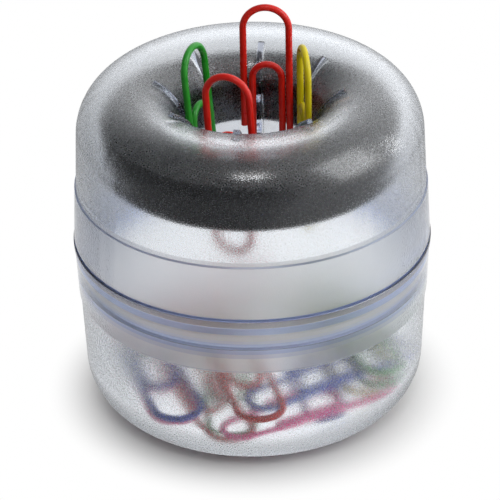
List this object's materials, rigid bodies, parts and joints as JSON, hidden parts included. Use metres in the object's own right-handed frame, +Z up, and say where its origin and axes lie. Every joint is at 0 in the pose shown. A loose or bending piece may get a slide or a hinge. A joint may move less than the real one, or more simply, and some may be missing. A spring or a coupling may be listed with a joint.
{
  "type": "magnetic paper clip holder",
  "caption": "Round frosted desk container with a funnel-topped lid and a ring magnet that holds coated paper clips upright in its throat, with more clips loose in the cup.",
  "frame": {"origin": "centre of the foot ring's underside, on the surface the holder stands on", "axes": "+Z up along the axis of the cup and lid, fins of the funnel on +X and +Y"},
  "size_m": [0.06, 0.06, 0.0685],
  "materials": {
    "frosted_plastic": "frosted clear plastic with a blue tint, polished in a band each side of the seam",
    "ferrite": "dull sintered ferrite",
    "red_coating": "glossy vinyl coating",
    "green_coating": "glossy vinyl coating",
    "yellow_coating": "glossy vinyl coating",
    "blue_coating": "glossy vinyl coating",
    "pink_coating": "glossy vinyl coating"
  },
  "bodies": {
    "cup": {"cup": "frosted_plastic", "loose_green_low": "green_coating", "loose_yellow_low": "yellow_coating", "loose_red_left": "red_coating", "loose_blue_low": "blue_coating", "loose_pink_right": "pink_coating", "loose_pink_left": "pink_coating", "loose_blue_right": "blue_coating", "loose_blue_left": "blue_coating", "loose_red_middle": "red_coating", "loose_green_right": "green_coating", "loose_green_back": "green_coating", "loose_green_front": "green_coating", "loose_yellow_top": "yellow_coating", "loose_red_top": "red_coating"},
    "lid": {"lid": "frosted_plastic", "ring_magnet": "ferrite"},
    "clip_red_back": {"clip_red_back": "red_coating"},
    "clip_red_front": {"clip_red_front": "red_coating"},
    "clip_green": {"clip_green": "green_coating"},
    "clip_yellow": {"clip_yellow": "yellow_coating"}
  },
  "joints": [
    {"name": "lid_lift", "type": "slide", "parent": "cup", "child": "lid", "axis": [0, 0, 1], "range_m": [0, 0.04]},
    {"name": "clip_red_back_pull", "type": "slide", "parent": "lid", "child": "clip_red_back", "axis": [0, 0, 1], "range_m": [0, 0.028]},
    {"name": "clip_red_front_pull", "type": "slide", "parent": "lid", "child": "clip_red_front", "axis": [-0.0508, 0.0127, 0.9986], "range_m": [0, 0.03]},
    {"name": "clip_green_pull", "type": "slide", "parent": "lid", "child": "clip_green", "axis": [-0.0831, 0.0262, 0.9962], "range_m": [0, 0.03]},
    {"name": "clip_yellow_pull", "type": "slide", "parent": "lid", "child": "clip_yellow", "axis": [0, 0, 1], "range_m": [0, 0.03]}
  ]
}
